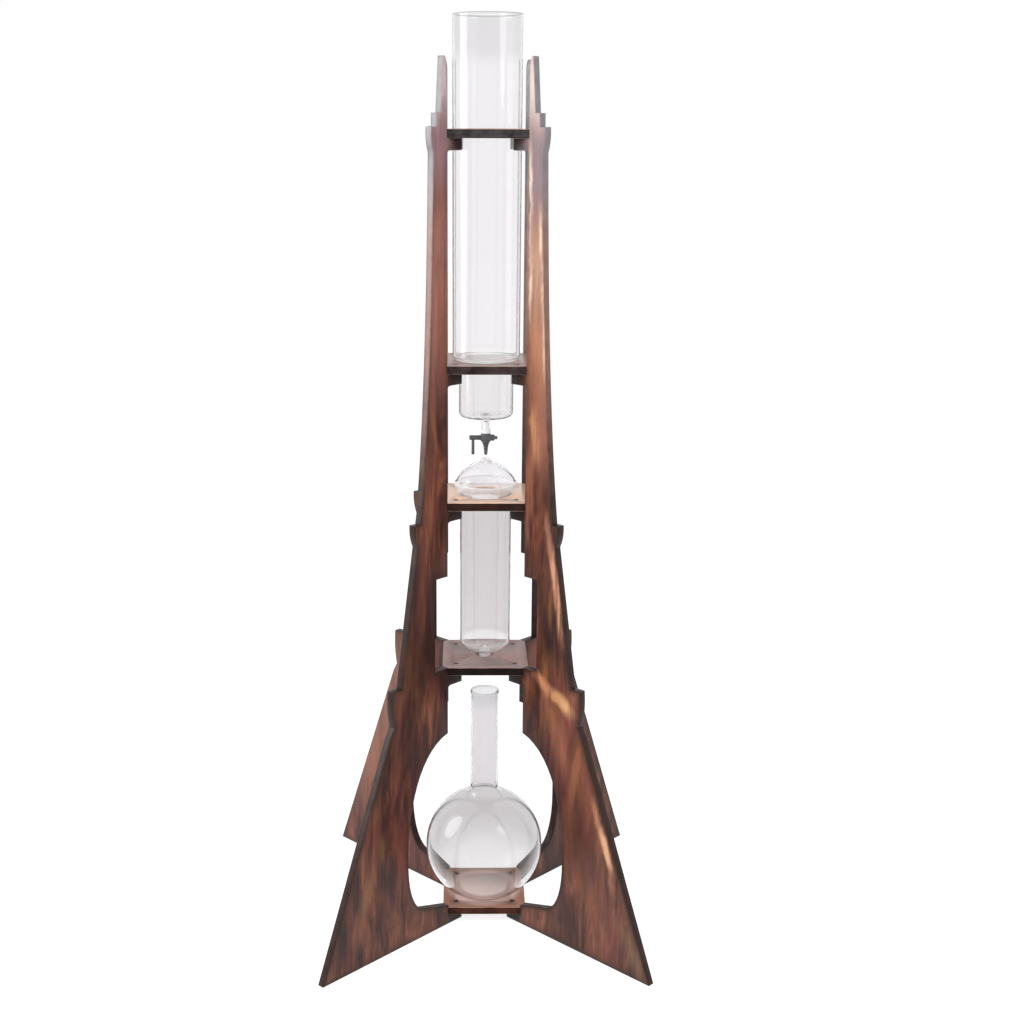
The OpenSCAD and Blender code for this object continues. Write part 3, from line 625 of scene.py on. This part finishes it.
def lathe(name, profile, axis="Z", centre=(0, 0, 0), turns=160, closed=True):
    """A turned form: the profile point (r, h) goes to (r cos a, r sin a) across the axis and h
    along it, for every angle a. Points on the axis become one pole each."""
    r, h = np.asarray(profile, float).T
    a = np.linspace(0, 2 * np.pi, turns, endpoint=False)
    points = np.stack([np.outer(r, np.cos(a)), np.outer(r, np.sin(a)),
                       np.repeat(h[:, None], turns, 1)], -1).reshape(-1, 3)
    index = np.arange(len(points)).reshape(len(r), turns)
    index[r < 1e-9] = index[r < 1e-9][:, :1]
    low, high = (index, np.roll(index, -1, 0)) if closed else (index[:-1], index[1:])
    quads = np.stack([low, np.roll(low, -1, 1), np.roll(high, -1, 1), high], -1).reshape(-1, 4)
    lower_pole, upper_pole = quads[:, 0] == quads[:, 1], quads[:, 2] == quads[:, 3]
    volume = np.einsum("ij,ij->", points[quads[:, 0]],
                       np.cross(points[quads[:, 1]], points[quads[:, 2]]) +
                       np.cross(points[quads[:, 2]], points[quads[:, 3]]))
    if volume < 0:
        quads = quads[:, ::-1]
        lower_pole, upper_pole = upper_pole, lower_pole
    whole = ~(lower_pole | upper_pole)
    tris = np.concatenate([quads[lower_pole][:, 1:], quads[upper_pole & ~lower_pole][:, :3]])
    used, at = np.unique(np.concatenate([quads[whole].ravel(), tris.ravel()]), return_inverse=True)
    count = whole.sum() * 4
    faces = at[:count].reshape(-1, 4).tolist() + at[count:].reshape(-1, 3).tolist()
    points = points[used]
    if axis == "X":
        points = points[:, [2, 0, 1]]
    return linked(name, points + np.array(centre, float), faces, 40)


def bowed(centre, radius, low, high, steps):
    """An arc about a centre from one angle to another, in degrees, as profile corners."""
    t = np.radians(np.linspace(low, high, steps))
    return [(centre[0] + radius * math.cos(a), centre[1] + radius * math.sin(a), 0) for a in t]


def lets_light_by(tree, shader, solid=1.0, share=0.95):
    """Lets a share of the light fall through a glass wall onto what stands behind it; the
    eye sees the wall itself as solid as given."""
    shadow = shade(tree, "LightPath").outputs["Is Shadow Ray"]
    kept_back = span(tree, shadow, 0.0, 1.0, 1.0, 1.0 - share)
    tree.links.new(maths(tree, "MULTIPLY", kept_back, solid), shader.inputs["Alpha"])


def clear_glass(name, bands, edge_power=3.5, bend=1.25, clear=1.0, haze_power=7.0):
    """Clear glass, a little grey, which darkens and grows dull where it is seen edge on, as
    thick glass does. Its bands give the tints, flat on and edge on, and the roughness at
    rising heights, with smooth steps between."""
    stuff, tree, shader = new_material(name)
    shader.inputs["Transmission Weight"].default_value = clear
    shader.inputs["IOR"].default_value = bend
    shader.inputs["Specular IOR Level"].default_value = 0.25
    shader.inputs["Coat Weight"].default_value = 0.5
    shader.inputs["Coat Roughness"].default_value = 0.15
    facing = shade(tree, "LayerWeight", Blend=0.5).outputs["Facing"]
    place = shade(tree, "TexCoord").outputs["Object"]
    at = shade(tree, "SeparateXYZ")
    tree.links.new(place, at.inputs[0])
    flat_on, edge_on = tint(bands[0][1]), tint(bands[0][2])
    waves = noise(tree, place, 35.0, 2, 0.4)
    rough = span(tree, waves, 0.3, 0.7, bands[0][3], bands[0][3] + 0.015)
    for (below, _, _, _), (above, centre_tint, edge_tint, haze) in zip(bands, bands[1:]):
        share = span(tree, at.outputs[2], below, above)
        flat_on = mix_colors(tree, share, flat_on, tint(centre_tint))
        edge_on = mix_colors(tree, share, edge_on, tint(edge_tint))
        step = shade(tree, "Mix")
        tree.links.new(share, step.inputs[0])
        tree.links.new(rough, step.inputs[2])
        step.inputs[3].default_value = haze
        rough = step.outputs[0]
    edge = maths(tree, "POWER", facing, edge_power)
    tree.links.new(mix_colors(tree, edge, flat_on, edge_on), shader.inputs["Base Color"])
    blurred = maths(tree, "MULTIPLY", maths(tree, "POWER", facing, haze_power), 0.5)
    tree.links.new(maths(tree, "MAXIMUM", rough, blurred), shader.inputs["Roughness"])
    lets_light_by(tree, shader)
    return stuff


def frosted_glass(name, dull, pale):
    """Ground or fire-polished glass that is pale and only partly clear, for rims and flanges; on the
    tank's shoulder and the chamber's outlet its paleness is a painted highlight.
    """
    stuff, tree, shader = new_material(name)
    grain = noise(tree, shade(tree, "TexCoord").outputs["Object"], 300.0, 3, 0.6)
    tree.links.new(mix_colors(tree, grain, tint(dull), tint(pale)), shader.inputs["Base Color"])
    tree.links.new(span(tree, grain, 0.3, 0.7, 0.25, 0.4), shader.inputs["Roughness"])
    shader.inputs["IOR"].default_value = 1.25
    lets_light_by(tree, shader, 0.4, 0.8)
    return stuff


# Ground glass for rims and flanges, also a painted highlight where it makes the tank's shoulder and the
# chamber's outlet pale.
ground_and_highlight_finish = frosted_glass("ground_and_highlight_glass", "#d8d6d8", "#e6e5e6")


def refinish(piece, low, high, within=1.0, finish=ground_and_highlight_finish):
    """Gives another finish to the faces whose centre lies between two heights and no
    farther than within from the axis."""
    mesh = piece.data
    mesh.materials.append(finish)
    x, y, z = per_element(mesh.polygons, "center", 3).T
    slots = per_element(mesh.polygons, "material_index", 1, int)
    slots[(z > low) & (z < high) & (np.hypot(x, y) < within)] = len(mesh.materials) - 1
    mesh.polygons.foreach_set("material_index", slots)


tank_glass = clear_glass("tank_glass", (
    (0.640, "#fdfdfd", "#f4f4f5", 0.15), (0.653, "#f3f2f2", "#e0e0e3", 0.03),
    (0.712, "#f3f2f2", "#e8e8ea", 0.03), (0.717, "#fdfdfd", "#f8f8f8", 0.3),
    (0.722, "#fdfdfd", "#f8f8f8", 0.3), (0.730, "#f8f7f8", "#e6e7e9", 0.0),
    (1.050, "#f8f7f8", "#e6e7e9", 0.0), (1.075, "#f0eff0", "#e0e1e3", 0.0)))
tank = lathe("glass_water_tank", softened([
    (0.0037, 0.6335, 0.0005), (0.0055, 0.6335, 0.0006), (0.0055, 0.650, 0.0020),
    (0.0325, 0.650, 0.0060), (0.0325, 0.7080, 0), (0.0325, 0.7186, 0.0009), (0.0400, 0.7186, 0.0050),
    (0.0400, 1.110, 0.00118), (0.0376, 1.110, 0.00118), (0.0376, 0.7209, 0.0026),
    (0.0301, 0.7209, 0.0010), (0.0301, 0.7080, 0), (0.0301, 0.6524, 0.0036), (0.0037, 0.6524, 0.0015)]))
tank.data.materials.append(tank_glass)
refinish(tank, 0.7085, 0.7215, 0.0372)  # the inner part of the shoulder, made pale as painted light where the shaded bore of the plate would show through
refinish(tank, 1.1085, 1.1110, finish=frosted_glass("polished_rim", "#88888a", "#9c9c9e"))
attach(tank, "tank")
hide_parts("water_tank")

# ---------------------------------------------------------------- tap
# A small moulded tap: a silicone bung in the outlet tube holds its spigot, a plug with a
# cross bore turns in the barrel, with a handle on one end and a cap on the other.
silicone, rubber_tree, rubber_shader = new_material("pale_silicone")
rubber_haze = noise(rubber_tree, shade(rubber_tree, "TexCoord").outputs["Object"], 400.0, 3, 0.5)
rubber_tree.links.new(mix_colors(rubber_tree, rubber_haze, tint("#e4e3e5"), tint("#eceaec")),
                      rubber_shader.inputs["Base Color"])
rubber_tree.links.new(span(rubber_tree, rubber_haze, 0.3, 0.7, 0.38, 0.5),
                      rubber_shader.inputs["Roughness"])
rubber_shader.inputs["Subsurface Weight"].default_value = 0.3
rubber_shader.inputs["Subsurface Radius"].default_value = (0.004, 0.004, 0.004)
rubber_shader.inputs["Subsurface Scale"].default_value = 0.5
bung = lathe("silicone_bung", softened([
    (0.00255, 0.6291, 0.0002), (0.0055, 0.6291, 0.0007), (0.0055, 0.6334, 0.0004),
    (0.00365, 0.6334, 0.0002), (0.00365, 0.6435, 0.0005), (0.00255, 0.6435, 0.0002)],
    tight=0.0001), turns=72)
bung.data.materials.append(silicone)
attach(bung, "tank")
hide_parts("tap_seal")

moulded, plastic_tree, plastic_shader = new_material("dark_moulded_plastic")
plastic_place = shade(plastic_tree, "TexCoord").outputs["Object"]
plastic_grain = noise(plastic_tree, plastic_place, 2600.0, 3, 0.6)
plastic_cloud = noise(plastic_tree, plastic_place, 120.0, 2, 0.5)
plastic_tree.links.new(mix_colors(plastic_tree, span(plastic_tree, plastic_cloud, 0.3, 0.7),
                                  tint("#424246"), tint("#535257")), plastic_shader.inputs["Base Color"])
plastic_tree.links.new(span(plastic_tree, plastic_cloud, 0.3, 0.7, 0.32, 0.42),
                       plastic_shader.inputs["Roughness"])
plastic_bump = shade(plastic_tree, "Bump", Strength=0.15, Distance=0.0001)
plastic_tree.links.new(plastic_grain, plastic_bump.inputs["Height"])
plastic_tree.links.new(plastic_bump.outputs[0], plastic_shader.inputs["Normal"])


def joined(name, *forms):
    """One mesh object out of several at the origin; their closed surfaces stay as they are."""
    parts = bmesh.new()
    for form in forms:
        parts.from_mesh(form.data)
        bpy.data.objects.remove(form)
    mesh = bpy.data.meshes.new(name)
    parts.to_mesh(mesh)
    parts.free()
    return placed(name, mesh)


axis_z = 0.6236
tap = joined(
    "moulded_tap_body",
    lathe("drop", softened([
        (0.0011, 0.0199, 0.0001), (0.0025, 0.0199, 0.0004), (0.0025, 0.0055, 0.0004),
        (0.0055, 0.0055, 0.0010), (0.0055, -0.0034, 0.0022), (0.0029, -0.0102, 0.0040),
        (0.0018, -0.0210, 0.0003), (0.0011, -0.0210, 0.0001)], tight=0.0001),
        centre=(0, 0, axis_z), turns=72),
    lathe("barrel", softened([
        (0.00305, -0.0060, 0.0001), (0.0048, -0.0060, 0.0006), (0.0048, 0.0060, 0.0006),
        (0.00305, 0.0060, 0.0001)], tight=0.0001), axis="X", centre=(0, 0, axis_z), turns=72))
grip = joined(
    "moulded_tap_handle",
    lathe("arm", softened([
        (0.0, -0.01035, 0), (0.00165, -0.01035, 0), (0.00165, -0.0063, 0.0001),
        (0.00325, -0.0063, 0.0004), (0.00325, -0.0077, 0.0002), (0.00285, -0.0077, 0.0002),
        (0.00285, -0.0200, 0.0011), (0.0, -0.0200, 0)], tight=0.0001),
        axis="X", centre=(0, 0, axis_z), turns=72, closed=False),
    lathe("lever", softened(
        [(0.0, -0.0002, 0), (0.00176, -0.0002, 0), (0.00185, -0.0182, 0.0010)] +
        bowed((0, -0.0190), 0.0020, 10, -89, 14) + [(0.0, -0.0210, 0)], tight=0.0001),
        centre=(-0.0155, 0, axis_z), turns=72, closed=False))
end_cap = lathe("moulded_tap_cap", softened([
    (0.0, 0.01035, 0), (0.00165, 0.01035, 0), (0.00165, 0.0063, 0.0001),
    (0.0038, 0.0063, 0.0004), (0.0038, 0.0097, 0.0005), (0.0020, 0.0111, 0.0008),
    (0.0020, 0.0140, 0.0005), (0.0, 0.0140, 0)], tight=0.0001),
    axis="X", centre=(0, 0, axis_z), turns=72, closed=False)
for piece, body, node in ((tap, "tank", "tap_body"), (grip, "tap_valve", "tap_handle"),
                          (end_cap, "tap_valve", "tap_cap")):
    piece.data.materials.append(moulded)
    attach(piece, body)
    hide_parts(node)
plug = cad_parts["tap_plug"]
plug.data.materials.clear()
plug.data.materials.append(moulded)

# ---------------------------------------------------------------- lid
# A pressed glass dome with a thin brim, which lies loose on the chamber's flange, and a
# ring with a funnel that catches the drops.
lid_glass = clear_glass("lid_glass", (
    (0.5685, "#fdfdfd", "#f6f6f7", 0.12), (0.571, "#f9f8fa", "#d6d8dc", 0.0),
    (0.591, "#f9f8fa", "#d6d8dc", 0.0), (0.5945, "#fdfdfd", "#f4f4f5", 0.25)), bend=1.08)
ball, ball_z, wall, hole = 0.04003, 0.55417, 0.002, 0.0035
brim_low, brim_high, ring_top, ring_foot = 0.5671, 0.5692, 0.5980, 0.0085
tip = math.degrees(math.acos(ring_foot / ball))
foot = math.degrees(math.asin((brim_high - ball_z) / ball))
inner = ball - wall
inner_foot = math.degrees(math.asin((brim_low - ball_z) / inner))
dome = lathe("glass_drip_lid", softened(
    [(0.0387, brim_low, 0.0007), (0.0387, brim_high, 0.0007)] +
    bowed((0, ball_z), ball, foot, tip, 22) +
    [(0.0053, ring_top, 0.0008), (0.0043, ring_top, 0.0003), (hole, 0.5966, 0.0005),
     (hole, ball_z + math.sqrt(inner ** 2 - hole ** 2), 0.0003)] +
    bowed((0, ball_z), inner, math.degrees(math.acos(hole / inner)) - 2, inner_foot, 22)))
dome.data.materials.append(lid_glass)
refinish(dome, 0.5655, 0.5693)  # the brim
refinish(dome, 0.5950, 0.5990)  # the ring
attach(dome, "lid")
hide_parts("drip_lid")

# ---------------------------------------------------------------- coffee chamber
# A tall glass tube that hangs by its collar, with a ground flange for the lid, a rounded
# bottom and a drip outlet.
chamber_glass = clear_glass("chamber_glass", (
    (0.356, "#fdfdfd", "#f8f8f8", 0.02), (0.366, "#f9f8f9", "#e6e7e9", 0.02),
    (0.373, "#e4e1e2", "#bdbec0", 0.02), (0.552, "#e4e1e2", "#bdbec0", 0.02),
    (0.557, "#fdfdfd", "#f2f2f3", 0.12)), 3.0)
chamber = lathe("glass_coffee_chamber", softened([
    (0.0035, 0.330, 0.0004), (0.00675, 0.330, 0.0005), (0.00675, 0.355, 0.0020),
    (0.03125, 0.355, 0.0119), (0.03125, 0.5551, 0.0007), (0.0345, 0.5551, 0.0008),
    (0.0345, 0.564, 0.0008), (0.0385, 0.564, 0.0008), (0.0385, 0.567, 0.0008),
    (0.0323, 0.567, 0.0008), (0.0323, 0.5572, 0.0008), (0.02905, 0.5572, 0.0012),
    (0.02905, 0.3572, 0.0097), (0.0035, 0.3572, 0.0015)], tight=0.0001))
chamber.data.materials.append(chamber_glass)
refinish(chamber, 0.5545, 0.5680)  # the collar and its flange
refinish(chamber, 0.3530, 0.3610, finish=clear_glass("chamber_bottom_glass", (
    (0.356, "#fdfdfd", "#f8f8f8", 0.02), (0.366, "#f9f8f9", "#f2f2f3", 0.02)), 3.0, clear=0.93))
refinish(chamber, 0.3295, 0.3530)  # the outlet, made pale as a painted highlight
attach(chamber, "chamber")
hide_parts("coffee_chamber")

# ---------------------------------------------------------------- flask
# A round flat-bottomed flask of thin blown glass with a long neck and a beaded rim.
flask_glass = clear_glass("flask_glass", (
    (0.045, "#fdfdfd", "#c6c8cb", 0.0), (0.085, "#e1dfe0", "#bec0c3", 0.03),
    (0.155, "#e1dfe0", "#bec0c3", 0.03), (0.175, "#e7e5e7", "#cacbce", 0.0)), 3.0)
ball, ball_z, wall, neck, fillet = 0.0745, 0.0875, 0.0022, 0.0175, 0.012
fillet_z = ball_z + math.sqrt((ball + fillet) ** 2 - (neck + fillet) ** 2)
turn = math.degrees(math.atan2(fillet_z - ball_z, neck + fillet))
sunk = 0.0645  # how far the flat foot lies below the ball's centre
low = math.degrees(math.asin(-sunk / ball))
low_inner = math.degrees(math.asin(-(sunk - wall) / (ball - wall)))
punt = [(0.0, 0.0240, 0), (0.018, 0.0239, 0), (0.0330, 0.02305, 0.010), (0.0366, 0.02305, 0.001)]
flask = lathe("glass_flask", softened(
    punt + bowed((0, ball_z), ball, low + 1, turn, 60) +
    bowed((neck + fillet, fillet_z), fillet, turn - 180, -180, 12)[1:] +
    [(neck, 0.2960, 0.0)] + bowed((neck, 0.2977), 0.0013, -60, 90, 9) +
    [(neck - wall, 0.299, 0.0008)] +
    bowed((neck + fillet, fillet_z), fillet + wall, -180, turn - 180, 12) +
    bowed((0, ball_z), ball - wall, turn, low_inner + 1, 60)[1:] +
    [(r, h + wall, 0) for r, h, _ in punt[2::-1]]),
    closed=False)
flask.data.materials.append(flask_glass)
refinish(flask, 0.2955, 0.3000)  # the beaded rim
refinish(flask, 0.1700, 0.2955, finish=clear_glass("flask_neck_glass", (
    (0.175, "#e7e5e7", "#d6d7d9", 0.0), (0.272, "#e7e5e7", "#d6d7d9", 0.0),
    (0.288, "#dddcde", "#cccdd0", 0.0)), 3.0, bend=1.1))
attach(flask, "flask")
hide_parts("flask")
